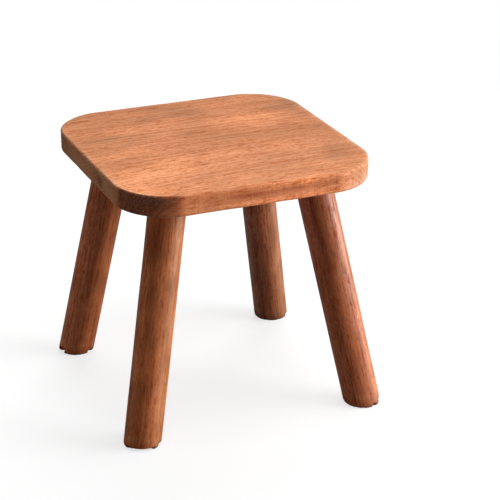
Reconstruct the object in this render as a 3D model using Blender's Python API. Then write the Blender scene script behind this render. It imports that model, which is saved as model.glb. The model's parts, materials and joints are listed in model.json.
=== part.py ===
"""Wooden milking stool: a glued-up square seat on four splayed round legs.

The seat is four boards glued edge to edge, cut to one outline with round corners
and eased edges. Each leg is one turned piece: a straight round shaft, a shoulder
cut to the underside of the seat, and a thinner tenon that sits in a blind mortise.
A wedge in the tenon's saw kerf spreads it, so that the leg can't pull out.

Metres, +Z up. The origin is on the floor under the middle of the seat. The grain
of the seat runs along X, and the front of the stool faces -Y.
"""

import math

import bmesh
import bpy
from mathutils import Matrix, Vector

# Seat
STOOL_HEIGHT = 0.280
SEAT_SIDE = 0.280
SEAT_THICKNESS = 0.023
SEAT_CORNER_RADIUS = 0.059
SEAT_TOP_EDGE_RADIUS = 0.0022
SEAT_BOTTOM_EDGE_RADIUS = 0.0036
GLUE_LINES_Y = (-0.100, -0.016, 0.064)
BOARD_NAMES = ("front", "mid_front", "mid_back", "back")

# Legs
LEG_DIAMETER = 0.0396
FOOT_EDGE_RADIUS = 0.0035
LEGS = {
    # name: (joint X, joint Y, lean outwards along X, lean outwards along Y).
    # The joint is where the leg's axis meets the underside of the seat, in metres, and
    # the leans are in degrees. Bored by hand, so no two legs stand quite alike.
    "front_left": (-0.0810, -0.0830, 10.25, 7.75),
    "front_right": (0.0810, -0.0805, 10.25, 9.25),
    "back_left": (-0.0805, 0.0805, 9.25, 9.25),
    "back_right": (0.0815, 0.0820, 9.75, 8.50),
}

# Tenon, mortise and wedge
TENON_DIAMETER = 0.025
TENON_LENGTH = 0.0145
WEDGE_LENGTH = 0.010
WEDGE_WIDTH = 0.022
WEDGE_THICK_END = 0.0042
WEDGE_THIN_END = 0.0016

# Clearances
JOINT_GAP = 0.0003
MORTISE_END_GAP = 0.0008

# Facets
CORNER_SEGMENTS = 18
EDGE_SEGMENTS = 3
ROUND_SEGMENTS = 48
TENON_SEGMENTS = 32

# Worked out from the above
SEAT_UNDERSIDE = STOOL_HEIGHT - SEAT_THICKNESS
LEG_RADIUS = LEG_DIAMETER / 2
TENON_RADIUS = TENON_DIAMETER / 2
OVERCUT = 0.010

# Colours
BOARD_COLOURS = {
    "front": (0.52, 0.24, 0.12, 1.0),
    "mid_front": (0.50, 0.22, 0.11, 1.0),
    "mid_back": (0.47, 0.21, 0.11, 1.0),
    "back": (0.45, 0.19, 0.10, 1.0),
}
LEG_COLOUR = (0.30, 0.11, 0.055, 1.0)
WEDGE_COLOUR = (0.42, 0.22, 0.12, 1.0)
OILED_WOOD_ROUGHNESS = 0.45
DRY_WOOD_ROUGHNESS = 0.70


def clear_scene():
    for old in list(bpy.data.objects):
        bpy.data.objects.remove(old, do_unlink=True)


def new_collection(name):
    collection = bpy.data.collections.new(name)
    bpy.context.scene.collection.children.link(collection)
    return collection


def wood_material(name, colour, roughness):
    material = bpy.data.materials.new(name)
    material.use_nodes = True
    shader = material.node_tree.nodes["Principled BSDF"]
    shader.inputs["Base Color"].default_value = colour
    shader.inputs["Roughness"].default_value = roughness
    shader.inputs["Metallic"].default_value = 0.0
    material.diffuse_color = colour
    return material


def object_from_bmesh(name, bm, collection, material=None):
    bmesh.ops.recalc_face_normals(bm, faces=bm.faces)
    mesh = bpy.data.meshes.new(name)
    bm.to_mesh(mesh)
    bm.free()
    mesh.shade_smooth()
    mesh.set_sharp_from_angle(angle=math.radians(30))
    obj = bpy.data.objects.new(name, mesh)
    collection.objects.link(obj)
    if material:
        mesh.materials.append(material)
    return obj


def cutter_from_bmesh(name, bm, collection):
    obj = object_from_bmesh(name, bm, collection)
    obj.hide_render = True
    obj.display_type = "WIRE"
    return obj


def add_boolean(obj, cutter, operation):
    modifier = obj.modifiers.new(cutter.name, "BOOLEAN")
    modifier.object = cutter
    modifier.operation = operation
    modifier.solver = "EXACT"


def bisect_and_cap(bm, point, normal):
    """Cut away what lies on the normal's side of a plane, and close the cut."""
    geometry = bm.verts[:] + bm.edges[:] + bm.faces[:]
    cut = bmesh.ops.bisect_plane(
        bm, geom=geometry, dist=1e-6, plane_co=point, plane_no=normal, clear_outer=True
    )
    rim = [item for item in cut["geom_cut"] if isinstance(item, bmesh.types.BMEdge)]
    bmesh.ops.edgenet_fill(bm, edges=rim)
    return rim


# Seat


def rounded_slab():
    """The whole seat as one slab, from which each board is sliced."""
    bm = bmesh.new()
    bmesh.ops.create_cube(bm, size=1.0)
    bmesh.ops.scale(bm, vec=(SEAT_SIDE, SEAT_SIDE, SEAT_THICKNESS), verts=bm.verts)
    middle = STOOL_HEIGHT - SEAT_THICKNESS / 2
    bmesh.ops.translate(bm, vec=(0, 0, middle), verts=bm.verts)

    upright = [edge for edge in bm.edges if abs(edge.verts[0].co.z - edge.verts[1].co.z) > 0.001]
    bmesh.ops.bevel(
        bm, geom=upright, offset=SEAT_CORNER_RADIUS, offset_type="OFFSET",
        segments=CORNER_SEGMENTS, profile=0.5, affect="EDGES",
    )
    ease_rim(bm, STOOL_HEIGHT, SEAT_TOP_EDGE_RADIUS)
    ease_rim(bm, SEAT_UNDERSIDE, SEAT_BOTTOM_EDGE_RADIUS)
    return bm


def ease_rim(bm, height, radius):
    rim = [
        edge for edge in bm.edges
        if all(abs(vert.co.z - height) < 1e-5 for vert in edge.verts)
    ]
    bmesh.ops.bevel(
        bm, geom=rim, offset=radius, offset_type="OFFSET",
        segments=EDGE_SEGMENTS, profile=0.5, affect="EDGES",
    )


def build_boards(collection):
    """Slice the slab along the glue lines, front to back."""
    last = len(BOARD_NAMES) - 1
    boards = []
    for index, name in enumerate(BOARD_NAMES):
        bm = rounded_slab()
        if index > 0:
            front_face = GLUE_LINES_Y[index - 1] + JOINT_GAP / 2
            bisect_and_cap(bm, Vector((0, front_face, 0)), Vector((0, -1, 0)))
        if index < last:
            back_face = GLUE_LINES_Y[index] - JOINT_GAP / 2
            bisect_and_cap(bm, Vector((0, back_face, 0)), Vector((0, 1, 0)))
        material = wood_material("board_" + name, BOARD_COLOURS[name], OILED_WOOD_ROUGHNESS)
        boards.append(object_from_bmesh("seat_board_" + name, bm, collection, material))
    return boards


def board_at(boards, y):
    """The board that lies over the given depth."""
    index = sum(1 for line in GLUE_LINES_Y if line < y)
    return boards[index]


# Legs


def leg_placement(name):
    """Where the leg's axis meets the underside of the seat, and which way it points up."""
    joint_x, joint_y, lean_x, lean_y = LEGS[name]
    upwards = Vector((
        -math.copysign(math.tan(math.radians(lean_x)), joint_x),
        -math.copysign(math.tan(math.radians(lean_y)), joint_y),
        1.0,
    )).normalized()
    return Vector((joint_x, joint_y, SEAT_UNDERSIDE)), upwards


def place_on_leg_axis(obj, joint, upwards):
    obj.rotation_mode = "QUATERNION"
    obj.rotation_quaternion = Vector((0, 0, 1)).rotation_difference(upwards)
    obj.location = joint


def cylinder(radius, bottom, top, segments):
    bm = bmesh.new()
    bmesh.ops.create_cone(
        bm, cap_ends=True, cap_tris=False, segments=segments,
        radius1=radius, radius2=radius, depth=top - bottom,
        matrix=Matrix.Translation((0, 0, (top + bottom) / 2)),
    )
    return bm


def leg_shaft(upwards):
    """The round shaft, standing on its own Z axis with its shoulder at the origin.

    The foot and the shoulder are both cut level with the floor, across the leaning axis.
    """
    slope = Vector((0, 0, 1)).rotation_difference(upwards)
    level = slope.inverted() @ Vector((0, 0, 1))
    floor_point = level * -SEAT_UNDERSIDE
    shoulder_point = level * -JOINT_GAP

    length = SEAT_UNDERSIDE / upwards.z
    bm = cylinder(LEG_RADIUS, -length - OVERCUT, OVERCUT, ROUND_SEGMENTS)
    bisect_and_cap(bm, shoulder_point, level)
    foot_rim = bisect_and_cap(bm, floor_point, -level)
    bmesh.ops.bevel(
        bm, geom=foot_rim, offset=FOOT_EDGE_RADIUS, offset_type="OFFSET",
        segments=EDGE_SEGMENTS, profile=0.5, affect="EDGES",
    )
    return bm


def tapered_bar(thin, thick, width, bottom, top):
    """A bar along Z whose thickness, along X, grows from its bottom to its top."""
    bm = bmesh.new()
    bmesh.ops.create_cube(bm, size=1.0)
    middle = (bottom + top) / 2
    for vert in bm.verts:
        thickness = thick if vert.co.z > 0 else thin
        vert.co.x *= thickness
        vert.co.y *= width
        vert.co.z = middle + vert.co.z * (top - bottom)
    return bm


def kerf_cutter_bmesh():
    """The opened saw kerf: the wedge with a gap all round, and open at the tenon's end."""
    taper = (WEDGE_THICK_END - WEDGE_THIN_END) / WEDGE_LENGTH
    bottom = TENON_LENGTH - WEDGE_LENGTH - JOINT_GAP
    top = TENON_LENGTH + OVERCUT
    thin = WEDGE_THIN_END - taper * JOINT_GAP + 2 * JOINT_GAP
    thick = WEDGE_THICK_END + taper * OVERCUT + 2 * JOINT_GAP
    return tapered_bar(thin, thick, TENON_DIAMETER + OVERCUT, bottom, top)


def build_leg(name, boards, stool, cutters, leg_material, wedge_material):
    joint, upwards = leg_placement(name)

    leg = object_from_bmesh("leg_" + name, leg_shaft(upwards), stool, leg_material)
    place_on_leg_axis(leg, joint, upwards)

    tenon_mesh = cylinder(TENON_RADIUS, -OVERCUT, TENON_LENGTH, TENON_SEGMENTS)
    tenon = cutter_from_bmesh("tenon_" + name, tenon_mesh, cutters)
    kerf = cutter_from_bmesh("kerf_" + name, kerf_cutter_bmesh(), cutters)
    tenon.parent = leg
    kerf.parent = leg
    add_boolean(leg, tenon, "UNION")
    add_boolean(leg, kerf, "DIFFERENCE")

    mortise_end = TENON_LENGTH + MORTISE_END_GAP
    mortise_mesh = cylinder(TENON_RADIUS + JOINT_GAP, -OVERCUT, mortise_end, TENON_SEGMENTS)
    mortise = cutter_from_bmesh("mortise_" + name, mortise_mesh, cutters)
    mortise.parent = leg
    add_boolean(board_at(boards, joint.y), mortise, "DIFFERENCE")

    wedge_bottom = TENON_LENGTH - WEDGE_LENGTH
    wedge_mesh = tapered_bar(
        WEDGE_THIN_END, WEDGE_THICK_END, WEDGE_WIDTH, wedge_bottom, TENON_LENGTH
    )
    wedge = object_from_bmesh("tenon_wedge_" + name, wedge_mesh, stool, wedge_material)
    wedge.parent = leg
    return leg


def build_stool():
    clear_scene()
    stool = new_collection("milking_stool")
    cutters = new_collection("cutters")

    root = bpy.data.objects.new("milking_stool_root", None)
    stool.objects.link(root)

    boards = build_boards(stool)
    leg_material = wood_material("leg_wood", LEG_COLOUR, OILED_WOOD_ROUGHNESS)
    wedge_material = wood_material("wedge_wood", WEDGE_COLOUR, DRY_WOOD_ROUGHNESS)
    legs = [
        build_leg(name, boards, stool, cutters, leg_material, wedge_material)
        for name in LEGS
    ]
    for piece in boards + legs:
        piece.parent = root


build_stool()
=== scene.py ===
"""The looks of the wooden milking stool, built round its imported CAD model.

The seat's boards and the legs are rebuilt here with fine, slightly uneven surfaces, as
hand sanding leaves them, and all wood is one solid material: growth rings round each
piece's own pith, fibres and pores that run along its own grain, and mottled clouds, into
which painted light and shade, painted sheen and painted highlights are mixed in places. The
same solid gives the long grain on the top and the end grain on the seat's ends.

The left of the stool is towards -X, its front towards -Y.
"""

import json
import math

import bmesh
import bpy
from mathutils import Matrix, Quaternion, Vector, noise


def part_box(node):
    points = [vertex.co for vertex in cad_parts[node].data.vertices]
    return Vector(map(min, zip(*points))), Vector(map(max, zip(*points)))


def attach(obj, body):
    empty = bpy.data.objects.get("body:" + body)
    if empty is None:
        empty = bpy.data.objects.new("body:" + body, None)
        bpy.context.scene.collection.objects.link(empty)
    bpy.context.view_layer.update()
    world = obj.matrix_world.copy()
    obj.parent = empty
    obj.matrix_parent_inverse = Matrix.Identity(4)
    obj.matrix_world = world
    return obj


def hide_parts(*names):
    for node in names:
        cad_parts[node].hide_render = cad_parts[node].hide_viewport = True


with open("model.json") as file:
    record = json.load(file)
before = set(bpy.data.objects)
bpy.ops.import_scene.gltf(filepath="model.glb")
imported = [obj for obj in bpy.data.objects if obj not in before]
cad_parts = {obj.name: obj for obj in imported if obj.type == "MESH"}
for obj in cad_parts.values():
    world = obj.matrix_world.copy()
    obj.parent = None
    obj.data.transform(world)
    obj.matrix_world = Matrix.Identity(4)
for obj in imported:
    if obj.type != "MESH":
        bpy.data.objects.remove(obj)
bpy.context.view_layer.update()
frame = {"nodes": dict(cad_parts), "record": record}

UP = Vector((0, 0, 1))
SHARP_ANGLE = math.radians(32)

# Glue films, how far cutters pass what they cut, and what counts as one place, in metres
GLUE_FILM = 0.00005
CUTTER_ROOM = 0.0002
OVERCUT = 0.010
SAME_PLACE = 0.00002
ON_PLANE = 1e-7

# How finely the surfaces are divided, in metres and in segments
EASED_EDGE_LOOPS = (0.0006, 0.0020, 0.0040)
GRID_STEP_ALONG = 0.005
GRID_STEP_ACROSS = 0.0025
LEG_RING_STEP = 0.008
FOOT_RINGS = (0.0042, 0.0050, 0.0060, 0.0078, 0.0100, 0.0115, 0.0130, 0.0145, 0.0170)
CORNER_SEGMENTS = 36
EDGE_SEGMENTS = 7
LEG_SEGMENTS = 96
TENON_SEGMENTS = 48

# The rise and fall that sanding and use leave: wavelengths and depths in metres, and seeds
SANDING_WAVE = 0.045
SANDING_DEPTH = 0.00010
SANDING_SEED = 1.7
RIM_WAVE = 0.018
RIM_DEPTH = 0.00022
RIM_SEED = 5.1
LEG_WAVE = 0.016
LEG_WAVE_STRETCH = 0.35
LEG_DEPTH = 0.00016
NICK_WAVE = 0.0045
NICK_DEPTH = 0.0022
NICK_SEED = 40


# Reading the frame


def node_points(node):
    return [vert.co.copy() for vert in frame["nodes"][node].data.vertices]


def near(value, target):
    return abs(value - target) < SAME_PLACE


def read_seat():
    """The seat's size, corner and eased edges, and where its boards meet."""
    nodes = [name for name in frame["nodes"] if name.startswith("seat_board_")]
    nodes.sort(key=lambda name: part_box(name)[0].y)
    boxes = [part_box(name) for name in nodes]
    front_low, front_high = boxes[0]
    half = boxes[-1][1].y
    underside, top = front_low.z, front_high.z
    front_face = [point for point in node_points(nodes[0]) if near(point.y, front_low.y)]
    return {
        "nodes": nodes,
        "half": half,
        "underside": underside,
        "top": top,
        "corner": half - max(point.x for point in front_face),
        "top_edge": top - max(point.z for point in front_face),
        "bottom_edge": min(point.z for point in front_face) - underside,
        "glue_lines": [(a[1].y + b[0].y) / 2 for a, b in zip(boxes, boxes[1:])],
    }


def middle_of(points):
    """The middle of a flat ring of points, whatever the spacing of the points."""
    low = Vector(map(min, *points))
    high = Vector(map(max, *points))
    return (low + high) / 2


def read_leg(place, underside):
    """A leg's axis, from its foot to its shoulder, with its radii, tenon, wedge and look."""
    node = "leg_" + place
    mounts = {mount["name"]: mount for mount in frame["record"]["mounts"]}
    foot = Vector(mounts["foot_" + place]["pos_m"])
    points = node_points(node)
    shoulder_height = max(point.z for point in points if point.z < underside)
    shoulder = middle_of([point for point in points if near(point.z, shoulder_height)])
    upwards = (shoulder - foot).normalized()
    placing = Matrix.Translation(shoulder) @ UP.rotation_difference(upwards).to_matrix().to_4x4()

    own = [placing.inverted() @ point for point in points]
    end = max(point.z for point in own)
    tenon = [point.xy.length for point in own if near(point.z, end)]
    wedge = [placing.inverted() @ point for point in node_points("tenon_wedge_" + place)]
    return {
        "node": node,
        "place": place,
        "placing": placing,
        "level": placing.to_3x3().inverted() @ UP,
        "height": shoulder_height,
        "radius": max(point.xy.length for point in own),
        "tenon_radius": max(tenon),
        "tenon_end": end,
        "wedge": wedge,
        "look": LEG_LOOKS[place],
    }


# Mesh tools


def mesh_object(name, bm):
    mesh = bpy.data.meshes.new(name)
    bmesh.ops.recalc_face_normals(bm, faces=bm.faces)
    bm.to_mesh(mesh)
    bm.free()
    obj = bpy.data.objects.new(name, mesh)
    bpy.context.scene.collection.objects.link(obj)
    return obj


def whole(bm):
    return bm.verts[:] + bm.edges[:] + bm.faces[:]


def level_faces(bm, height, level=UP):
    """The faces that lie wholly at one height."""
    return [face for face in bm.faces if all(near(v.co.dot(level), height) for v in face.verts)]


def slice_through(bm, point, normal):
    """Add a loop of edges where a plane passes, without cutting anything away."""
    bmesh.ops.bisect_plane(bm, geom=whole(bm), dist=ON_PLANE, plane_co=point, plane_no=normal)


def cut_and_cap(bm, point, normal):
    """Cut away what lies on the normal's side of a plane, close the cut, return its rim."""
    cut = bmesh.ops.bisect_plane(
        bm, geom=whole(bm), dist=ON_PLANE, plane_co=point, plane_no=normal, clear_outer=True
    )
    rim = [item for item in cut["geom_cut"] if isinstance(item, bmesh.types.BMEdge)]
    bmesh.ops.edgenet_fill(bm, edges=rim)
    return rim


def round_over(bm, edges, radius, segments):
    bmesh.ops.bevel(
        bm, geom=edges, offset=radius, offset_type="OFFSET",
        segments=segments, profile=0.5, affect="EDGES",
    )


def round_bar(radius, bottom, top, segments):
    """A closed round bar on the Z axis, between two heights."""
    bm = bmesh.new()
    bmesh.ops.create_cone(
        bm, cap_ends=True, segments=segments, depth=top - bottom, radius1=radius,
        radius2=radius, matrix=Matrix.Translation((0, 0, (top + bottom) / 2)),
    )
    return bm


def apply_booleans(obj, steps):
    """Run the (cutter, operation) steps on the object, keep the result, drop the cutters."""
    for cutter, operation in steps:
        modifier = obj.modifiers.new(cutter.name, "BOOLEAN")
        modifier.object = cutter
        modifier.operation = operation
        modifier.solver = "EXACT"
    depsgraph = bpy.context.evaluated_depsgraph_get()
    result = bpy.data.meshes.new_from_object(obj.evaluated_get(depsgraph))
    obj.modifiers.clear()
    obj.data = result
    for cutter, _ in steps:
        bpy.data.objects.remove(cutter, do_unlink=True)


def float_layer(mesh, name, values):
    layer = mesh.attributes.new(name, "FLOAT", "POINT")
    layer.data.foreach_set("value", values)


def vector_layer(mesh, name, vectors):
    layer = mesh.attributes.new(name, "FLOAT_VECTOR", "POINT")
    layer.data.foreach_set("vector", [number for vector in vectors for number in vector])


def steps_between(low, high, step):
    """Evenly spaced places strictly between two ends, about a step apart."""
    count = round((high - low) / step)
    return [low + index * (high - low) / count for index in range(1, count)]


def finish_piece(obj, node, material):
    obj.data.shade_smooth()
    obj.data.set_sharp_from_angle(angle=SHARP_ANGLE)
    obj.data.materials.clear()
    obj.data.materials.append(material)
    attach(obj, "root")
    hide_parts(node)


# Soft shapes


def unevenness(point, wave, depth, seed):
    """A smooth, repeatable rise and fall over a surface."""
    return depth * noise.noise(point / wave + Vector((seed, -seed, 2 * seed)))


def step_down(value, edge, softness):
    """Falls from 1 to 0 as a value passes an edge."""
    return 0.5 - 0.5 * math.tanh((value - edge) / (2.0 * softness))


def step_up(value, edge, softness):
    """Rises from 0 to 1 as a value passes an edge."""
    return 1.0 - step_down(value, edge, softness)


def patch(along, across, x, y, long, wide, turn, strength):
    """One soft, stretched and turned spot of lighter (+) or darker (-) wood."""
    cosine, sine = math.cos(math.radians(turn)), math.sin(math.radians(turn))
    lengthwise = (along - x) * cosine + (across - y) * sine
    crosswise = (across - y) * cosine - (along - x) * sine
    return strength * math.exp(-(lengthwise / long) ** 2 - (crosswise / wide) ** 2)


def patches(along, across, rows):
    return sum(patch(along, across, *row) for row in rows)


# Seat


def rim_distance(point, seat):
    """How far a point lies inside the seat's outline, seen from above."""
    straight = seat["half"] - seat["corner"]
    over_x = abs(point.x) - straight
    over_y = abs(point.y) - straight
    if over_x > 0 and over_y > 0:
        return seat["corner"] - math.hypot(over_x, over_y)
    return seat["half"] - max(abs(point.x), abs(point.y))


def seat_block(seat):
    """The whole seat in one piece, with its round corners and eased edges."""
    side, thickness = 2 * seat["half"], seat["top"] - seat["underside"]
    bm = bmesh.new()
    bmesh.ops.create_cube(bm, size=1.0)
    bmesh.ops.scale(bm, vec=(side, side, thickness), verts=bm.verts)
    bmesh.ops.translate(bm, vec=(0, 0, seat["underside"] + thickness / 2), verts=bm.verts)

    upright = [e for e in bm.edges if abs(e.verts[0].co.z - e.verts[1].co.z) > thickness / 2]
    round_over(bm, upright, seat["corner"], CORNER_SEGMENTS)
    rims = ((seat["top"], seat["top_edge"]), (seat["underside"], seat["bottom_edge"]))
    for height, radius in rims:
        rim = [e for e in bm.edges if all(near(v.co.z, height) for v in e.verts)]
        round_over(bm, rim, radius, EDGE_SEGMENTS)
    return bm


def seat_slab(seat):
    """The seat's block with a fine net of edges over it, and the marks of sanding."""
    bm = seat_block(seat)
    for height in (seat["top"], seat["underside"]):
        flat = level_faces(bm, height)
        for step in EASED_EDGE_LOOPS:
            bmesh.ops.inset_region(bm, faces=flat, thickness=step, use_even_offset=True)

    for place in steps_between(-seat["half"], seat["half"], GRID_STEP_ALONG):
        slice_through(bm, (place, 0, 0), (1, 0, 0))
    for place in steps_between(-seat["half"], seat["half"], GRID_STEP_ACROSS):
        slice_through(bm, (0, place, 0), (0, 1, 0))
    for height in steps_between(seat["underside"], seat["top"], GRID_STEP_ALONG):
        slice_through(bm, (0, 0, height), (0, 0, 1))

    bm.normal_update()
    for vert in bm.verts:
        depth = unevenness(vert.co, SANDING_WAVE, SANDING_DEPTH, SANDING_SEED)
        if rim_distance(vert.co, seat) < seat["bottom_edge"]:
            depth += unevenness(vert.co, RIM_WAVE, RIM_DEPTH, RIM_SEED)
        vert.co += vert.normal * depth
    return bm


def mortise_cutter(leg):
    """The round hole that a leg's tenon sits in, as a bar in the row frame."""
    radius = leg["tenon_radius"] + GLUE_FILM
    bm = round_bar(radius, -OVERCUT, leg["tenon_end"] + CUTTER_ROOM, TENON_SEGMENTS)
    bm.transform(leg["placing"])
    return mesh_object("mortise_" + leg["place"], bm)


def build_board(index, seat, legs, slab):
    """One board of the seat, sliced from the slab, with its mortises."""
    node, look = seat["nodes"][index], BOARD_LOOKS[index]
    edges = [-seat["half"] - OVERCUT] + seat["glue_lines"] + [seat["half"] + OVERCUT]
    front, back = edges[index], edges[index + 1]
    bm = slab.copy()
    if front > -seat["half"]:
        cut_and_cap(bm, Vector((0, front + GLUE_FILM / 2, 0)), Vector((0, -1, 0)))
    if back < seat["half"]:
        cut_and_cap(bm, Vector((0, back - GLUE_FILM / 2, 0)), Vector((0, 1, 0)))
    board = mesh_object(node.replace("seat_board", "seat_plank"), bm)

    held = [leg for leg in legs if front < leg["placing"].translation.y < back]
    apply_booleans(board, [(mortise_cutter(leg), "DIFFERENCE") for leg in held])

    mesh = board.data
    points = [vert.co.copy() for vert in mesh.vertices]
    vector_layer(mesh, "grain", [board_grain(point, seat, look) for point in points])
    float_layer(mesh, "end", [abs(vert.normal.x) for vert in mesh.vertices])
    float_layer(mesh, "wear_and_sheen", [seat_wear_and_sheen(point, seat) for point in points])
    float_layer(mesh, "figure_and_shade", [seat_figure_and_shade(point, seat) for point in points])
    float_layer(mesh, "sawn", [seat_side(point, seat) for point in points])
    colour = [part * look["tone"] for part in SEAT_COLOUR]
    material = hardwood("oiled_" + node, grain_place, colour, SEAT_WEIGHTS)
    finish_piece(board, node, material)


# How each board lies in its log, from the front board to the back one: how far the pith runs
# behind the stool's middle and above the floor, how far along the log the board starts and how
# far its fibres bow, in metres, and the board's tone as a share of the seat's colour
BOARD_LOOKS = (
    {"pith_y": 0.00, "pith_z": 0.34, "start": 0.3, "bow": 0.005, "tone": 1.03},
    {"pith_y": -0.05, "pith_z": 0.20, "start": 0.7, "bow": 0.016, "tone": 0.98},
    {"pith_y": 0.03, "pith_z": 0.32, "start": 1.1, "bow": 0.004, "tone": 1.00},
    {"pith_y": 0.10, "pith_z": 0.21, "start": 1.9, "bow": 0.000, "tone": 0.97},
)
BOW_LENGTH = 0.08


def board_grain(point, seat, look):
    """A place in a board's own wood, whose fibres bow towards the front at the left end."""
    bow = look["bow"] * math.exp(-(point.x + seat["half"]) / BOW_LENGTH)
    along = point.x + look["start"]
    return Vector((along, point.y + bow - look["pith_y"], point.z - look["pith_z"]))


# Where the seat's sides begin, in metres in from its outline
SIDE_EDGE = 0.0019
SIDE_SOFTNESS = 0.0003


def seat_side(point, seat):
    """1 on the seat's upright sides and 0 on its top and underside."""
    return step_down(rim_distance(point, seat), SIDE_EDGE, SIDE_SOFTNESS)


# The clouds in the seat's figure, seen from above in shares of half the seat: middle along
# and across the boards, half length, half width, turn in degrees, strength. The darker ones
# come first, each group from the left end to the right.
TOP_CLOUDS = (
    (-0.94, 0.52, 0.08, 0.10, 0, -0.09),
    (-0.90, -0.50, 0.20, 0.08, 0, -0.10),
    (-0.73, 0.31, 0.12, 0.07, 0, -0.08),
    (-0.72, 0.62, 0.14, 0.07, 6, -0.10),
    (-0.70, 0.34, 0.24, 0.07, 4, -0.20),
    (-0.70, -0.99, 0.11, 0.06, 10, -0.12),
    (-0.62, 0.12, 0.22, 0.07, 0, -0.10),
    (-0.55, -0.74, 0.40, 0.018, 3, -0.12),
    (-0.52, -0.50, 0.16, 0.08, 0, -0.05),
    (-0.50, 0.32, 0.40, 0.09, 3, -0.16),
    (-0.38, 0.66, 0.26, 0.09, 4, -0.14),
    (-0.10, 0.86, 0.36, 0.12, 0, -0.07),
    (-0.06, 0.26, 0.15, 0.12, 10, -0.10),
    (0.00, -0.73, 0.14, 0.07, 0, -0.06),
    (0.02, 0.88, 0.40, 0.07, 0, -0.10),
    (0.03, 0.70, 0.22, 0.13, -6, -0.26),
    (0.07, 0.46, 0.05, 0.12, 0, -0.12),
    (0.10, -0.17, 0.13, 0.07, 0, -0.12),
    (0.10, -0.71, 0.34, 0.016, 2, -0.10),
    (0.20, 0.05, 0.20, 0.10, -14, -0.16),
    (0.20, 0.31, 0.14, 0.08, 0, -0.07),
    (0.20, 0.96, 0.20, 0.10, 0, -0.07),
    (0.34, -0.48, 0.14, 0.035, 3, -0.13),
    (0.42, -0.84, 0.22, 0.05, 4, -0.10),
    (0.58, 0.03, 0.18, 0.13, 12, -0.16),
    (0.74, -0.74, 0.10, 0.08, 0, -0.12),
    (0.78, -0.10, 0.18, 0.08, 0, -0.10),
    (0.79, -0.54, 0.17, 0.13, 16, -0.16),
    (0.80, 0.56, 0.17, 0.12, -24, -0.26),
    (0.90, 0.62, 0.12, 0.20, 0, -0.12),
    (0.92, 0.72, 0.08, 0.26, 0, -0.10),
    (0.93, 0.04, 0.10, 0.16, 0, -0.10),
    (0.97, 0.30, 0.08, 0.70, 0, -0.08),

    (-0.92, -0.88, 0.16, 0.14, 0, 0.08),
    (-0.90, -0.56, 0.10, 0.26, 0, 0.12),
    (-0.88, -0.31, 0.18, 0.07, 0, 0.12),
    (-0.86, -0.66, 0.20, 0.22, 0, 0.08),
    (-0.85, -0.60, 0.35, 0.42, 0, 0.14),
    (-0.85, -0.74, 0.20, 0.10, 0, 0.10),
    (-0.74, -0.86, 0.26, 0.10, 0, 0.10),
    (-0.60, -0.60, 0.50, 0.50, 0, 0.06),
    (-0.55, -0.02, 0.30, 0.05, 2, 0.10),
    (-0.50, 0.55, 0.35, 0.07, 0, 0.08),
    (-0.50, 0.46, 0.34, 0.10, 3, 0.14),
    (-0.50, -0.46, 0.50, 0.16, 3, 0.22),
    (-0.42, -0.31, 0.18, 0.07, 0, 0.12),
    (-0.35, -0.64, 0.50, 0.17, 3, 0.08),
    (-0.30, 0.09, 0.34, 0.06, 2, 0.10),
    (-0.12, -0.24, 0.40, 0.06, 4, 0.12),
    (0.00, -0.96, 0.70, 0.05, 0, 0.07),
    (0.15, -0.30, 0.50, 0.06, 4, 0.10),
    (0.30, 0.42, 0.26, 0.20, -20, 0.12),
    (0.30, -0.62, 0.40, 0.10, 2, 0.06),
    (0.31, -0.10, 0.10, 0.07, 0, 0.07),
    (0.46, 0.30, 0.22, 0.09, 8, 0.10),
    (0.50, -0.52, 0.10, 0.07, 0, 0.07),
    (0.52, -0.94, 0.12, 0.06, 0, 0.08),
    (0.55, -0.36, 0.26, 0.08, 3, 0.12),
    (0.58, 0.48, 0.22, 0.08, 0, 0.10),
    (0.62, -0.52, 0.18, 0.08, 0, 0.08),
    (0.62, -0.85, 0.20, 0.10, 0, 0.10),
    (0.73, 0.31, 0.10, 0.08, 0, 0.06),
)

# A dark stripe of heartwood across the left of the top, whose front edge is a crisp line
STRIPE_FRONT_EDGE = -0.385
STRIPE_SLOPE = 0.085
STRIPE_LINE_SOFTNESS = 0.007
STRIPE_WIDTH = 0.14
STRIPE_WIDTH_SOFTNESS = 0.035
STRIPE_END = -0.52
STRIPE_END_SOFTNESS = 0.09
STRIPE_SHADE = -0.20


def top_figure(along, across):
    behind_line = across - STRIPE_SLOPE * (along + 1.0) - STRIPE_FRONT_EDGE
    stripe = step_down(along, STRIPE_END, STRIPE_END_SOFTNESS)
    stripe *= step_down(behind_line, STRIPE_WIDTH, STRIPE_WIDTH_SOFTNESS)
    stripe *= step_up(behind_line, 0.0, STRIPE_LINE_SOFTNESS)
    return patches(along, across, TOP_CLOUDS) + STRIPE_SHADE * stripe


# The same on the front side: middle along the side and up it, both from -1 to 1
FRONT_CLOUDS = (
    (-0.94, 0.10, 0.10, 2.50, 0, -0.08),
    (-0.76, 0.55, 0.10, 0.40, 0, -0.06),
    (-0.45, 0.10, 0.26, 1.50, 0, -0.08),
    (-0.42, 0.10, 0.010, 0.45, 0, -0.25),
    (-0.10, 0.78, 0.50, 0.08, 0, -0.16),
    (-0.08, 0.10, 0.18, 0.30, 0, -0.56),
    (0.26, 0.10, 0.13, 0.28, 0, -0.54),
    (0.48, 0.10, 0.10, 0.32, 0, -0.22),
    (0.48, 0.35, 0.11, 0.80, 0, -0.20),
    (0.585, 0.30, 0.012, 0.60, 0, -0.40),

    (-0.72, -0.90, 0.12, 0.70, 0, 0.26),
    (0.10, -0.70, 0.55, 0.30, 0, 0.22),
    (0.24, 0.70, 0.30, 0.26, 0, 0.26),
    (0.24, 0.70, 0.20, 0.26, 0, 0.10),
    (0.24, -0.70, 0.25, 0.30, 0, 0.14),
    (0.37, 0.20, 0.014, 0.90, 0, 0.46),
    (0.50, 0.00, 0.16, 2.00, 0, 0.22),
)

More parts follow.
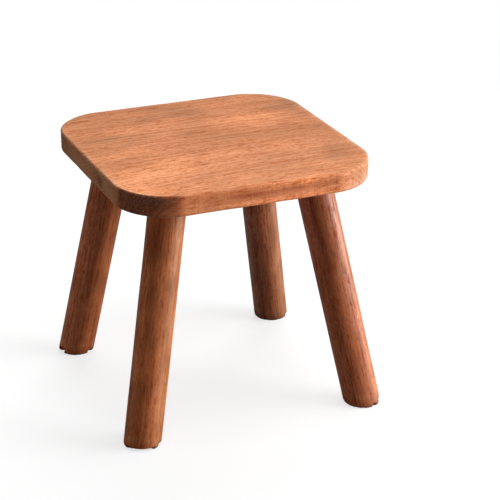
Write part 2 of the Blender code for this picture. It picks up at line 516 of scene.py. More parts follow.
# The same on the left side: middle from the front to the back and up it
LEFT_CLOUDS = (
    (-0.30, 0.05, 0.07, 0.45, 0, -0.52),
    (-0.22, 0.00, 0.26, 2.00, 0, -0.07),
    (0.20, 0.50, 0.20, 0.40, 0, -0.12),
    (0.55, -0.20, 0.10, 0.90, 0, -0.06),
    (0.80, 0.00, 0.30, 2.00, 0, -0.14),

    (-0.45, 0.10, 0.03, 0.90, 0, 0.14),
    (-0.40, 0.00, 0.27, 1.60, 0, 0.10),
    (0.14, 0.00, 0.18, 2.00, 0, 0.14),
)

# Where the sides change, in shares of half the seat: the front left corner, darkened as end
# grain that has drunk the most stain and as painted shade where it faces away from the lamps,
# and the two ends
CORNER_FRONT_EDGE = -0.635
CORNER_LEFT_EDGE = -0.68
CORNER_SOFTNESS = 0.016
CORNER_STAIN_AND_SHADE = -0.50
LEFT_END_EDGE = -0.90
LEFT_END_SOFTNESS = 0.02
RIGHT_END_EDGE = 0.975
RIGHT_END_SOFTNESS = 0.006
RIGHT_END_SHADE = -0.27


def side_figure_and_shade(along, across, up):
    front = patches(along, up, FRONT_CLOUDS)
    # Painted shade, together with the deeper stain of end grain, darkens the front left corner
    front += CORNER_STAIN_AND_SHADE * step_down(along, CORNER_FRONT_EDGE, CORNER_SOFTNESS)
    left = patches(across, up, LEFT_CLOUDS)
    figure_and_shade = front * step_down(across, CORNER_LEFT_EDGE, CORNER_SOFTNESS)
    figure_and_shade += left * step_down(along, LEFT_END_EDGE, LEFT_END_SOFTNESS)
    return figure_and_shade + RIGHT_END_SHADE * step_up(along, RIGHT_END_EDGE, RIGHT_END_SOFTNESS)


def seat_figure_and_shade(point, seat):
    """How much lighter (+) or darker (-) the seat's wood is at a place on it, the painted shade at
    the front left corner included.
    """
    along, across = point.x / seat["half"], point.y / seat["half"]
    middle = (seat["top"] + seat["underside"]) / 2
    up = (point.z - middle) / (seat["top"] - middle)
    on_side = seat_side(point, seat)
    return (1.0 - on_side) * top_figure(along, across) + on_side * side_figure_and_shade(along, across, up)


# How much paler the rims are, worn and painted with a highlight along the eased edges: halfway
# between the ends, added at the ends, and below as a share of above. The pale band runs between
# two multiples of the eased edge.
RIM_PALE = 0.25
RIM_PALE_RIGHT = 0.75
RIM_PALE_LEFT = 0.35
RIM_PALE_BELOW = 0.5
RIM_BAND_FROM = 0.55
RIM_BAND_FROM_SOFTNESS = 0.0002
RIM_BAND_TO = 2.3
RIM_BAND_TO_SOFTNESS = 0.0007

# How much paler the sides are: all of them to the right of an edge, as a share of half the
# seat, worn and painted with the key light's sheen, and one worn cloud on the left end, in the
# terms of the clouds above
SIDE_PALE_EDGE = 0.61
SIDE_PALE_SOFTNESS = 0.012
SIDE_PALE = 0.60
LEFT_END_WORN = (-0.22, 0.00, 0.26, 1.00, 0, 0.42)


def rim_wear_and_highlight(point, seat):
    above = point.z > (seat["top"] + seat["underside"]) / 2
    edge = seat["top_edge"] if above else seat["bottom_edge"]
    to_rim = rim_distance(point, seat)
    # The pale band is wear and a painted highlight along the eased edge
    pale_band = step_up(to_rim, RIM_BAND_FROM * edge, RIM_BAND_FROM_SOFTNESS)
    pale_band *= step_down(to_rim, RIM_BAND_TO * edge, RIM_BAND_TO_SOFTNESS)
    along = point.x / seat["half"]
    at_end = RIM_PALE_RIGHT * along ** 2 if along > 0 else RIM_PALE_LEFT * abs(along) ** 3
    return (RIM_PALE + at_end) * pale_band * (1.0 if above else RIM_PALE_BELOW)


def seat_wear_and_sheen(point, seat):
    """How far hands and clothes have worn the stain off, most of all at the right end, with a
    painted highlight on the rims and painted sheen on the right end's sides.
    """
    along, across = point.x / seat["half"], point.y / seat["half"]
    # The right end's sides are paled as wear and as painted sheen from the key light
    right = SIDE_PALE * step_up(along, SIDE_PALE_EDGE, SIDE_PALE_SOFTNESS)
    left = patch(across, 0.0, *LEFT_END_WORN) * step_down(along, LEFT_END_EDGE, LEFT_END_SOFTNESS)
    return max(rim_wear_and_highlight(point, seat), seat_side(point, seat) * max(right, left))


# Legs

# Where each leg lay in its log, in metres: the pith's place across the leg's axis, and how
# far along the log the leg starts. Then the seed of its unevenness, and its colour.
LEG_LOOKS = {
    "front_left": {
        "pith": (0.050, 0.010), "start": 0.5, "seed": 0.7, "colour": (0.335, 0.081, 0.017),
    },
    "front_right": {
        "pith": (-0.030, 0.040), "start": 1.4, "seed": 3.8, "colour": (0.266, 0.055, 0.008),
    },
    "back_left": {
        "pith": (0.040, -0.045), "start": 2.3, "seed": 6.9, "colour": (0.300, 0.065, 0.011),
    },
    "back_right": {
        "pith": (-0.055, -0.020), "start": 3.1, "seed": 10.0, "colour": (0.225, 0.057, 0.014),
    },
}

# The radius of the foot's rounded rim, and the share of it that is left inside a flake
FOOT_ROUNDING = 0.0035
ROUNDING_IN_FLAKE = 0.2

# What stays unworn: the leg's core, as a share of its radius, and the shoulder, in metres
UNWORN_CORE = 0.7
UNWORN_SHOULDER = 0.002


def leg_shaft(leg):
    """The shaft on its own Z axis, with the shoulder at the origin and a rounded foot."""
    level = leg["level"]
    reach = leg["height"] / level.z + OVERCUT
    bm = round_bar(leg["radius"], -reach, OVERCUT, LEG_SEGMENTS)
    cut_and_cap(bm, Vector((0, 0, 0)), level)
    foot_rim = cut_and_cap(bm, level * -leg["height"], -level)
    round_over(bm, foot_rim, FOOT_ROUNDING, EDGE_SEGMENTS)
    foot = level_faces(bm, -leg["height"], level)
    bmesh.ops.inset_region(bm, faces=foot, thickness=EASED_EDGE_LOOPS[0], use_even_offset=True)
    for height in steps_between(0.0, leg["height"], LEG_RING_STEP):
        slice_through(bm, level * -height, level)
    for height in FOOT_RINGS:
        slice_through(bm, level * (height - leg["height"]), level)
    wear_surface(bm, leg)
    return bm


def wear_surface(bm, leg):
    """Move each point of the shaft's side level with the floor, to where the wood now ends."""
    for vert in bm.verts:
        height = above_floor(vert.co, leg)
        outside = vert.co.xy.length > UNWORN_CORE * leg["radius"]
        if outside and height < leg["height"] - UNWORN_SHOULDER:
            axis = Vector((0, 0, (height - leg["height"]) / leg["level"].z))
            offset = vert.co - axis
            vert.co = axis + offset.normalized() * worn_reach(vert.co, offset, leg)


def above_floor(point, leg):
    return point.dot(leg["level"]) + leg["height"]


def worn_reach(place, offset, leg):
    """How far from its axis the leg's surface still reaches, with its nicks and flakes."""
    height = above_floor(place, leg)
    shaft = leg["radius"] * offset.length / offset.xy.length
    rounding = ROUNDING_IN_FLAKE * (shaft - offset.length)
    reach = offset.length - nick_depth(place, height, leg)
    reach = min(reach, shaft - flake_depth(place, height, leg) - rounding)
    stretched = Vector((place.x, place.y, place.z * LEG_WAVE_STRETCH))
    return reach + unevenness(stretched, LEG_WAVE, LEG_DEPTH, leg["look"]["seed"])


# The nicks keep to the foot's rim, below this height
NICKS_TOP = 0.6 * FOOT_ROUNDING
NICKS_TOP_SOFTNESS = 0.0007


def nick_depth(place, height, leg):
    """How deep the small nicks are in the foot's rim."""
    nick = unevenness(place, NICK_WAVE, NICK_DEPTH, leg["look"]["seed"] + NICK_SEED)
    return max(nick, 0.0) * step_down(height, NICKS_TOP, NICKS_TOP_SOFTNESS)


# Where each foot has lost a flake: heading in degrees (0 in front, 90 at the right), half
# width in degrees, height above the floor and depth in from the shaft's surface in metres
FOOT_FLAKES = {
    "front_left": (
        (52.0, 11.0, 0.0050, 0.0058), (-70.0, 9.0, 0.0032, 0.0045), (-22.0, 43.0, 0.0028, 0.0078),
    ),
    "front_right": ((62.0, 13.0, 0.0056, 0.0056), (20.0, 7.0, 0.0030, 0.0045)),
    "back_left": ((-82.0, 15.0, 0.0062, 0.0068), (38.0, 12.0, 0.0044, 0.0052)),
    "back_right": ((58.0, 12.0, 0.0050, 0.0056),),
}
FLAKE_SIDE_SOFTNESS = 1.2
FLAKE_TOP_SOFTNESS = 0.0003


def heading_from(place, middle):
    """How many degrees a place on a leg is turned from a heading, from -180 to 180."""
    heading = math.degrees(math.atan2(place.x, -place.y))
    return (heading - middle + 180.0) % 360.0 - 180.0


def flake_depth(place, height, leg):
    """How far in from the shaft's surface the foot's flakes have taken the wood."""
    depth = 0.0
    for middle, half_width, top, loss in FOOT_FLAKES[leg["place"]]:
        inside = step_down(abs(heading_from(place, middle)), half_width, FLAKE_SIDE_SOFTNESS)
        inside *= step_down(height, top, FLAKE_TOP_SOFTNESS)
        depth = max(depth, loss * inside)
    return depth


def kerf_cutter(leg):
    """The wedge with a film of glue round it, open to both sides and at the tenon's end."""
    bm = bmesh.new()
    bmesh.ops.create_cube(bm, size=1.0)
    thick = max(abs(point.x) for point in leg["wedge"])
    thin = min(abs(point.x) for point in leg["wedge"])
    bottom = min(point.z for point in leg["wedge"]) - GLUE_FILM
    for vert in bm.verts:
        high = vert.co.z > 0
        vert.co.x = math.copysign((thick if high else thin) + GLUE_FILM, vert.co.x)
        vert.co.y = math.copysign(leg["tenon_radius"] + OVERCUT, vert.co.y)
        vert.co.z = leg["tenon_end"] + CUTTER_ROOM if high else bottom
    return mesh_object("kerf_" + leg["place"], bm)


def build_leg(leg):
    shaft = mesh_object("leg_wood_" + leg["place"], leg_shaft(leg))
    bar = round_bar(leg["tenon_radius"], -OVERCUT, leg["tenon_end"], TENON_SEGMENTS)
    tenon = mesh_object("tenon_" + leg["place"], bar)
    apply_booleans(shaft, [(tenon, "UNION"), (kerf_cutter(leg), "DIFFERENCE")])

    mesh = shaft.data
    points = [vert.co.copy() for vert in mesh.vertices]
    vector_layer(mesh, "grain", [leg_grain(point, leg["look"]) for point in points])
    float_layer(mesh, "end", [abs(vert.normal.z) for vert in mesh.vertices])
    float_layer(mesh, "wear_and_sheen", [leg_wear_and_sheen(point, leg) for point in points])
    float_layer(mesh, "figure_and_shade", [leg_figure_and_shade(point, leg) for point in points])
    mesh.transform(leg["placing"])
    colour = leg["look"]["colour"]
    material = hardwood("oiled_" + leg["node"], grain_place, colour, LEG_WEIGHTS)
    finish_piece(shaft, leg["node"], material)


def leg_grain(point, look):
    """A place in the leg's own wood, with the fibres along the first axis."""
    pith_x, pith_y = look["pith"]
    return Vector((point.z + look["start"], point.x - pith_x, point.y - pith_y))


# Darker (-) and then lighter (+) spots on each leg: heading in degrees (0 in front, 90 at
# the right), height as a share of the leg, half width in degrees, half height, strength. The
# spots that run the whole leg (half height 0.80) are painted light and shade down one side,
# which evens out how the lamps fall on the leg; the front left leg's dark spot at 0.97 is the
# seat's painted shadow, and the front right leg's pale spot at 0.085 is a painted highlight.
LEG_CLOUDS_AND_SHADING = {
    "front_left": (
        (-75, 0.08, 14, 0.03, -0.22), (-60, 0.90, 12, 0.10, -0.12), (-45, 0.55, 9, 0.22, -0.26),
        (-30, 0.25, 26, 0.04, -0.18), (8, 0.68, 14, 0.05, -0.20), (10, 0.97, 30, 0.05, -0.20),
        (20, 0.42, 10, 0.12, -0.12), (20, 0.50, 20, 0.80, -0.13),
        (-10, 0.17, 30, 0.05, 0.14), (-5, 0.50, 7, 0.14, 0.10),
    ),
    "front_right": (
        (-40, 0.86, 12, 0.08, -0.14), (0, 0.16, 26, 0.04, -0.12), (16, 0.62, 6, 0.03, -0.30),
        (20, 0.30, 8, 0.10, -0.12),
        (-80, 0.50, 40, 0.80, 0.26), (-60, 0.70, 14, 0.14, 0.10), (-20, 0.40, 16, 0.12, 0.12),
        (25, 0.10, 20, 0.08, 0.12), (38, 0.50, 10, 0.80, 0.08), (50, 0.085, 16, 0.035, 0.45),
    ),
    "back_left": (
        (-40, 0.80, 22, 0.08, -0.10), (-24, 0.36, 16, 0.08, -0.22), (-17, 0.56, 8, 0.12, -0.30),
        (40, 0.50, 34, 0.80, -0.28),
        (-80, 0.50, 44, 0.80, 0.28), (-68, 0.53, 16, 0.10, 0.16), (-50, 0.20, 12, 0.08, 0.10),
        (10, 0.12, 20, 0.05, 0.10),
    ),
    "back_right": (
        (-50, 0.42, 12, 0.06, -0.20), (-30, 0.26, 20, 0.06, -0.10), (0, 0.74, 9, 0.05, -0.24),
        (14, 0.50, 24, 0.80, -0.08), (20, 0.50, 10, 0.10, -0.10),
        (-20, 0.62, 20, 0.10, 0.08),
    ),
}

# Where each leg is painted paler as the lamps' sheen, down its lit side and once above the
# front right foot as a painted highlight, in the same terms
LEG_SHEEN_SPOTS = {
    "front_left": ((38, 0.50, 32, 0.90, 1.5),),
    "front_right": (
        (34, 0.10, 18, 0.10, 1.0), (0, 0.50, 14, 0.90, 0.3), (60, 0.50, 26, 0.90, 1.3),
    ),
    "back_left": ((30, 0.50, 26, 0.90, 0.4),),
    "back_right": ((34, 0.50, 26, 0.90, 1.2),),
}

# The pale line round each leg just above its foot: height and half width, in metres
FOOT_LINE_HEIGHT = 0.0128
FOOT_LINE_WIDTH = 0.0026

# Painted shade on a foot: half of it reaches the first height, and the rest the second. Flakes
# hold painted shade as deep nicks do, by this share of their depth.
FOOT_SHADE_TOP = 2.0 * FOOT_ROUNDING
FOOT_SHADE_TOP_SOFTNESS = 0.0008
DEEP_FOOT_SHADE_TOP = 0.7 * FOOT_ROUNDING
DEEP_FOOT_SHADE_SOFTNESS = 0.0006
FOOT_SHADE_STRENGTH = -0.35
FLAKE_SHADE = 0.5


def spots(rows, point, leg):
    """The sum of a leg's soft spots at a place on it."""
    share = above_floor(point, leg) / leg["height"]
    result = 0.0
    for middle, level, half_width, half_height, strength in rows:
        off = heading_from(point, middle)
        result += patch(off, share, 0.0, level, half_width, half_height, 0, strength)
    return result


def leg_wear_and_sheen(point, leg):
    """Where the stain has worn thin in the line just above the foot, and the painted sheen down
    the leg's lit side.
    """
    off_line = (above_floor(point, leg) - FOOT_LINE_HEIGHT) / FOOT_LINE_WIDTH
    return max(math.exp(-off_line ** 2), spots(LEG_SHEEN_SPOTS[leg["place"]], point, leg))


def leg_figure_and_shade(point, leg):
    """The leg's lighter and darker spots, painted light and shade among them, and painted shade
    round the foot and in its nicks and flakes.
    """
    height = above_floor(point, leg)
    # Painted shade on the foot's rim and underside, and in its nicks and flakes
    foot_shade = 0.5 * step_down(height, FOOT_SHADE_TOP, FOOT_SHADE_TOP_SOFTNESS)
    foot_shade += 0.5 * step_down(height, DEEP_FOOT_SHADE_TOP, DEEP_FOOT_SHADE_SOFTNESS)
    lost = max(nick_depth(point, height, leg), FLAKE_SHADE * flake_depth(point, height, leg))
    foot_shade = max(foot_shade, min(lost / NICK_DEPTH, 1.0))
    return spots(LEG_CLOUDS_AND_SHADING[leg["place"]], point, leg) + FOOT_SHADE_STRENGTH * foot_shade


# Materials


class Tree:
    """A material's nodes, with a short call for each kind that the wood needs."""

    def __init__(self, name):
        self.material = bpy.data.materials.new(name)
        self.material.use_nodes = True
        self.nodes = self.material.node_tree.nodes
        self.shader = self.nodes["Principled BSDF"]

    def put(self, value, socket):
        """Link a socket's output, or set a plain value."""
        if isinstance(value, bpy.types.NodeSocket):
            self.material.node_tree.links.new(value, socket)
        else:
            socket.default_value = value

    def attribute(self, name, output="Fac"):
        """A layer of the mesh. A mesh without that layer counts as 0 everywhere."""
        node = self.nodes.new("ShaderNodeAttribute")
        node.attribute_name = name
        return node.outputs[output]

    def math(self, operation, *values):
        node = self.nodes.new("ShaderNodeMath")
        node.operation = operation
        for value, socket in zip(values, node.inputs):
            self.put(value, socket)
        return node.outputs[0]

    def vector(self, operation, *values):
        node = self.nodes.new("ShaderNodeVectorMath")
        node.operation = operation
        for value, socket in zip(values, node.inputs):
            self.put(value, socket)
        return node.outputs["Value" if operation == "LENGTH" else "Vector"]

    def scaled(self, vector, share):
        node = self.nodes.new("ShaderNodeVectorMath")
        node.operation = "SCALE"
        self.put(vector, node.inputs["Vector"])
        self.put(share, node.inputs["Scale"])
        return node.outputs["Vector"]

    def noise(self, place, stretch, detail=2.0, output="Fac"):
        """Noise with so many features to the metre along each axis of the wood."""
        node = self.nodes.new("ShaderNodeTexNoise")
        self.put(self.vector("MULTIPLY", place, stretch), node.inputs["Vector"])
        node.inputs["Scale"].default_value = 1.0
        node.inputs["Detail"].default_value = detail
        node.inputs["Roughness"].default_value = NOISE_ROUGHNESS
        return node.outputs[output]

    def cells(self, place, stretch):
        """The distance to each cell's middle, and a random value for the cell."""
        node = self.nodes.new("ShaderNodeTexVoronoi")
        self.put(self.vector("MULTIPLY", place, stretch), node.inputs["Vector"])
        node.inputs["Scale"].default_value = 1.0
        return node.outputs["Distance"], node.outputs["Color"]

    def span(self, value, low, high, to_low=0.0, to_high=1.0):
        """Turn one range into another, smoothly and without passing its ends."""
        node = self.nodes.new("ShaderNodeMapRange")
        node.interpolation_type = "SMOOTHSTEP"
        for number, socket in zip((value, low, high, to_low, to_high), node.inputs):
            self.put(number, socket)
        return node.outputs["Result"]

    def fade(self, share, at_none, at_full):
        """Go from one value to another as a share goes from 0 to 1."""
        return self.span(share, 0.0, 1.0, at_none, at_full)

    def blend(self, share, first, second, kind="MIX"):
        node = self.nodes.new("ShaderNodeMix")
        node.data_type = "RGBA"
        node.blend_type = kind
        colours_in = [socket for socket in node.inputs if socket.type == "RGBA"]
        self.put(share, node.inputs[0])
        self.put(first, colours_in[0])
        self.put(second, colours_in[1])
        return next(socket for socket in node.outputs if socket.type == "RGBA")

    def total(self, parts):
        """The sum of weighted values, each measured from its own middle of one half."""
        result = 0.0
        for value, weight in parts:
            off_middle = self.math("SUBTRACT", value, 0.5)
            result = self.math("MULTIPLY_ADD", off_middle, weight, result)
        return result


# Wood

# Features to the metre: along the fibres, then across them twice
BEND = (4.0, 20.0, 20.0)
BLOTCHES = (22.0, 42.0, 42.0)
CLOUDS = (7.0, 13.0, 13.0)
FIBRES = (26.0, 900.0, 900.0)
STREAKS = (11.0, 330.0, 330.0)
FLECKS = (210.0, 520.0, 520.0)
DASHES = (85.0, 360.0, 360.0)
BANDS = (2.5, 105.0, 105.0)
RING_WAVER = (2.0, 60.0, 60.0)
PORES = (120.0, 2300.0, 2300.0)
SAW_MARKS = (460.0, 80.0, 80.0)
NOISE_ROUGHNESS = 0.55

# How far the fibres bend, how wide a year's ring is, and how deep pores and fibres are, in
# metres, and how far the rings waver, in rings
BEND_WIDTH = 0.006
RING_WIDTH = 0.0034
PORE_DEPTH = 0.00006
FIBRE_DEPTH = 0.00003
RING_WAVERING = 1.6

# The range over which a noise or a layer of the mesh takes effect, from nothing to all
END_FROM_TO = (0.08, 0.60)
LATE_WOOD_FROM_TO = (0.08, 0.46)
DASHES_FROM_TO = (0.72, 0.50)
RAGGED_FROM_TO = (0.30, 0.70)
BLOTCH_FROM_TO = (0.40, 0.58)
PATCHY_FROM_TO = (0.30, 0.65)
SOAKED_AND_SHADED_FROM_TO = (-0.50, -0.64)
GREYED_FROM_TO = (0.0, -0.50)
STAINED_AND_SHADED_FROM_TO = (0.0, -0.35)
PORE_FROM_TO = (0.34, 0.12)
OPEN_FROM_TO = (0.80, 0.95)
ROUGH_FROM_TO = (0.20, 0.80)
GLOSS_FROM_TO = (0.10, 0.90)

# Shares of the wood's colour in the darkest and the palest fibres, and in an open pore
DARK_FIBRES = (0.66, 0.41, 0.18)
PALE_FIBRES = (1.34, 1.59, 1.82)
PORE_SHADE = (0.22, 0.16, 0.13)

# How the wood's colour shifts: in dark clouds and painted shade away from the seat's sides, on
# the long sides, on end grain, in dark clouds and painted shade on the sides, in the darkest end
# grain, soaked with stain and painted with shade, in the pale blotches of end grain, and where it
# is worn and where highlights and sheen are painted
GREYED = (1.0, 1.12, 1.35, 1.0)
SAWN = (1.0, 0.90, 0.87, 1.0)
END_GRAIN = (1.05, 1.23, 1.68, 1.0)
STAINED_AND_SHADED_TINT = (1.0, 0.80, 0.76, 1.0)
SOAKED_AND_SHADED_TINT = (1.10, 1.22, 1.95, 1.0)
MOTTLED = (0.88, 1.00, 1.14, 1.0)
WEAR_AND_SHEEN_TINT = (1.12, 1.45, 1.90, 1.0)

# How strongly saw marks and ragged cloud edges show, what the darkest wood, soaked with stain and
# painted with shade, keeps of its contrast and ragged edges, and the least share of the wear and
# painted sheen that a blotch leaves
SAW_SHARE = 0.60
RAGGED_SHARE = 0.40
SOAKED_AND_SHADED_CONTRAST = 0.45
SOAKED_AND_SHADED_RAGGED = 0.15
LEAST_PALING = 0.45

# How much the roughness changes with the fibres, in pores and on end grain, and the gloss of
# the darkest fibres, the palest fibres and end grain, as shares
ROUGH_SPREAD = 0.07
PORE_ROUGH = 0.25
END_ROUGH = 0.14
LEAST_GLOSS = 0.35
MOST_GLOSS = 1.65
END_GLOSS = 0.45

SEAT_COLOUR = (0.488, 0.159, 0.0495)
WEDGE_COLOUR = (0.46, 0.24, 0.11)

# How much each mark counts in the seat's wood and in the legs'
SEAT_WEIGHTS = {
    "fibres": 0.54, "streaks": 0.72, "flecks": 0.70, "dashes": 0.32, "bands": 0.20,
    "rings": 0.10, "end_rings": 0.36, "blotches": 0.50, "clouds": 0.40, "pores": 0.80,
    "end": 0.82, "end_contrast": 0.60, "rough": 0.68, "gloss": 0.34,
}
LEG_WEIGHTS = {
    "fibres": 1.15, "streaks": 0.84, "flecks": 0.65, "dashes": 0.30, "bands": 0.55,
    "rings": 0.05, "end_rings": 0.20, "blotches": 1.06, "clouds": 0.74, "pores": 0.90,
    "end": 0.75, "end_contrast": 0.60, "rough": 0.52, "gloss": 0.40,
}


def grain_place(tree):
    """Boards and legs carry each point's place in the log as a layer."""
    return tree.attribute("grain", "Vector")


def wedge_place(tree):
    """The wedges stay as the CAD has them, so their wood is placed by the frame's axes."""
    node = tree.nodes.new("ShaderNodeTexCoord")
    parts = tree.nodes.new("ShaderNodeSeparateXYZ")
    tree.put(node.outputs["Object"], parts.inputs[0])
    turned = tree.nodes.new("ShaderNodeCombineXYZ")
    for source, target in (("Z", "X"), ("X", "Y"), ("Y", "Z")):
        tree.put(parts.outputs[source], turned.inputs[target])
    return turned.outputs[0]


def hardwood(name, find_place, colour, weights):
    """Oiled hardwood under a stain, with fine pores, as a solid that every side cuts through."""
    tree = Tree(name)
    marks = wood_marks(tree, find_place(tree))
    tone = fibre_tone(tree, marks, weights)
    cloud = cloudiness(tree, marks, weights)
    paint = tree.blend(tone, shade(colour, DARK_FIBRES), shade(colour, PALE_FIBRES))
    paint = tinted(tree, marks, tree.scaled(paint, cloud))
    paint = pored_worn_and_sheened(tree, marks, weights, paint, shade(colour, PORE_SHADE))
    tree.put(paint, tree.shader.inputs["Base Color"])
    tree.put(roughness(tree, marks, weights, tone), tree.shader.inputs["Roughness"])
    tree.put(gloss(tree, marks, weights, tone, cloud), tree.shader.inputs["Specular IOR Level"])
    tree.put(relief(tree, marks), tree.shader.inputs["Normal"])
    return tree.material


def shade(colour, shares):
    return tuple(part * share for part, share in zip(colour, shares)) + (1.0,)


def wood_marks(tree, place):
    """What the colour, the gloss and the relief share, as sockets by name."""
    bend = tree.vector("SUBTRACT", tree.noise(place, BEND, output="Color"), (0.5, 0.5, 0.5))
    bent = tree.vector("MULTIPLY_ADD", bend, (0.0, BEND_WIDTH, BEND_WIDTH), place)
    figure_and_shade = tree.attribute("figure_and_shade")
    return {
        "place": place,
        "bent": bent,
        "end": tree.span(tree.attribute("end"), *END_FROM_TO),
        "figure_and_shade": figure_and_shade,
        "soaked_and_shaded": tree.span(figure_and_shade, *SOAKED_AND_SHADED_FROM_TO),
        "sawn": tree.attribute("sawn"),
        "fibres": tree.noise(bent, FIBRES, detail=3.0),
        "blotches": tree.noise(place, BLOTCHES),
        "pores": pore_marks(tree, bent),
    }


def pore_marks(tree, bent):
    """1 inside an open pore, which only some of the cells have."""
    distance, cell = tree.cells(bent, PORES)
    is_open = tree.span(tree.vector("LENGTH", cell), *OPEN_FROM_TO)
    return tree.math("MULTIPLY", tree.span(distance, *PORE_FROM_TO), is_open)


def growth_rings(tree, bent):
    """Rings round the pith, which is the first axis, from 0 in early wood to 1 in late."""
    flat = tree.vector("MULTIPLY", bent, (0.0, 1.0, 1.0))
    count = tree.math("DIVIDE", tree.vector("LENGTH", flat), RING_WIDTH)
    count = tree.math("MULTIPLY_ADD", tree.noise(bent, RING_WAVER), RING_WAVERING, count)
    return tree.span(tree.math("PINGPONG", count, 0.5), *LATE_WOOD_FROM_TO)


def fibre_tone(tree, marks, weights):
    """The fine pattern, from 0 in the darkest fibres to 1 in the palest."""
    bent, end = marks["bent"], marks["end"]
    sawn = tree.math("MULTIPLY", marks["sawn"], SAW_SHARE)
    pattern = tree.total((
        (marks["fibres"], weights["fibres"]),
        (tree.noise(bent, STREAKS), weights["streaks"]),
        (tree.noise(bent, FLECKS), weights["flecks"]),
        (tree.span(tree.noise(bent, DASHES), *DASHES_FROM_TO), weights["dashes"]),
        (tree.noise(bent, BANDS), weights["bands"]),
        (growth_rings(tree, bent), tree.fade(end, weights["rings"], weights["end_rings"])),
        (tree.noise(marks["place"], SAW_MARKS), sawn),
    ))
    contrast = tree.fade(end, 1.0, weights["end_contrast"])
    contrast = tree.math("MULTIPLY", contrast, tree.fade(marks["soaked_and_shaded"], 1.0, SOAKED_AND_SHADED_CONTRAST))
    return tree.math("MULTIPLY_ADD", pattern, contrast, 0.5)


def cloudiness(tree, marks, weights):
    """The broad pattern, from below 1 in dark clouds and painted shade to above 1 in pale clouds
    and painted light.
    """
    ragged = tree.noise(marks["bent"], FLECKS, detail=3.0)
    ragged = tree.span(ragged, *RAGGED_FROM_TO, -RAGGED_SHARE, RAGGED_SHARE)
    ragged = tree.math("MULTIPLY_ADD", ragged, tree.fade(marks["soaked_and_shaded"], 1.0, SOAKED_AND_SHADED_RAGGED), 1.0)
    cloud = tree.total((
        (marks["blotches"], weights["blotches"]),
        (tree.noise(marks["place"], CLOUDS), weights["clouds"]),
    ))
    return tree.math("MULTIPLY_ADD", marks["figure_and_shade"], ragged, tree.math("ADD", cloud, 1.0))


def tinted(tree, marks, paint):
    """Shift the colour in each kind of place that takes the stain in its own way, painted shade
    included.
    """
    end, sawn, figure_and_shade = marks["end"], marks["sawn"], marks["figure_and_shade"]
    greyed = tree.math("MULTIPLY", tree.span(figure_and_shade, *GREYED_FROM_TO), tree.fade(sawn, 1.0, 0.0))
    long_sides = tree.math("MULTIPLY", sawn, tree.fade(end, 1.0, 0.0))
    stained_and_shaded = tree.math("MULTIPLY", tree.span(figure_and_shade, *STAINED_AND_SHADED_FROM_TO), sawn)
    soaked_and_shaded = tree.math("MULTIPLY", marks["soaked_and_shaded"], end)
    mottled = tree.math("MULTIPLY", tree.span(marks["blotches"], *BLOTCH_FROM_TO), end)
    tints = (
        (greyed, GREYED), (long_sides, SAWN), (end, END_GRAIN),
        (stained_and_shaded, STAINED_AND_SHADED_TINT), (soaked_and_shaded, SOAKED_AND_SHADED_TINT), (mottled, MOTTLED),
    )
    for share, tint in tints:
        paint = tree.blend(share, paint, tint, "MULTIPLY")
    return paint


def pored_worn_and_sheened(tree, marks, weights, paint, pore_colour):
    """Darken the pores and the end grain, and pale the wood in patches where the stain is worn and
    where highlights and sheen are painted.
    """
    pores = tree.math("MULTIPLY", marks["pores"], weights["pores"])
    paint = tree.blend(pores, paint, pore_colour)
    paint = tree.scaled(paint, tree.fade(marks["end"], 1.0, weights["end"]))
    patchy = tree.span(marks["blotches"], *PATCHY_FROM_TO, LEAST_PALING, 1.0)
    # This layer holds wear and also painted highlights on the rims and painted sheen on lit sides
    wear_and_sheen = tree.math("MULTIPLY", tree.attribute("wear_and_sheen"), patchy)
    return tree.blend(wear_and_sheen, paint, WEAR_AND_SHEEN_TINT, "MULTIPLY")


def roughness(tree, marks, weights, tone):
    """Dark fibres, pores and end grain are the roughest."""
    rough = weights["rough"]
    result = tree.span(tone, *ROUGH_FROM_TO, rough + ROUGH_SPREAD, rough - ROUGH_SPREAD)
    result = tree.math("MULTIPLY_ADD", marks["pores"], PORE_ROUGH, result)
    return tree.math("MULTIPLY_ADD", marks["end"], END_ROUGH, result)


def gloss(tree, marks, weights, tone, cloud):
    """Pale fibres shine most, and end grain and dark clouds least."""
    full = weights["gloss"]
    result = tree.span(tone, *GLOSS_FROM_TO, LEAST_GLOSS * full, MOST_GLOSS * full)
    result = tree.math("MULTIPLY", result, cloud)
    return tree.math("MULTIPLY", result, tree.fade(marks["end"], 1.0, END_GLOSS))


def relief(tree, marks):
    """Raised fibres and sunken pores, whose heights are already in metres."""
    height = tree.math("MULTIPLY", marks["fibres"], FIBRE_DEPTH)
    height = tree.math("MULTIPLY_ADD", marks["pores"], -PORE_DEPTH, height)
    bump = tree.nodes.new("ShaderNodeBump")
    bump.inputs["Distance"].default_value = 1.0
    tree.put(height, bump.inputs["Height"])
    return bump.outputs["Normal"]


# Stage

# What the camera looks at and from how far, in metres, its angles in degrees (azimuth 0 in
# front, 90 at the right), and its lens and sensor in millimetres
CAMERA_TARGET = Vector((0.0455, 0.0, 0.1455))
CAMERA_DISTANCE = 1.906
CAMERA_AZIMUTH = -23.365
CAMERA_ELEVATION = 23.10
CAMERA_ROLL = 0.255
CAMERA_LENS = 123.6
CAMERA_SENSOR = 36.0

# Soft boxes round the stool: name, azimuth (0 in front, 90 at the right), elevation, watts
STUDIO_LIGHTS = (
    ("key", 60.0, 11.0, 80.0),
    ("side", 92.0, 8.0, 36.0),
    ("top", 0.0, 75.0, 23.0),
    ("back", 153.0, 55.0, 27.0),
    ("rim", 266.0, 8.0, 9.0),
)
LIGHT_SIDE = 1.3
LIGHT_CENTRE = Vector((0.0, 0.0, 0.12))
LIGHT_DISTANCE = 2.2

# How strong the world is as a light, and how white the camera sees it
WORLD_LIGHT = 0.03
WORLD_SEEN = 1.0
WHITE = (1.0, 1.0, 1.0, 1.0)

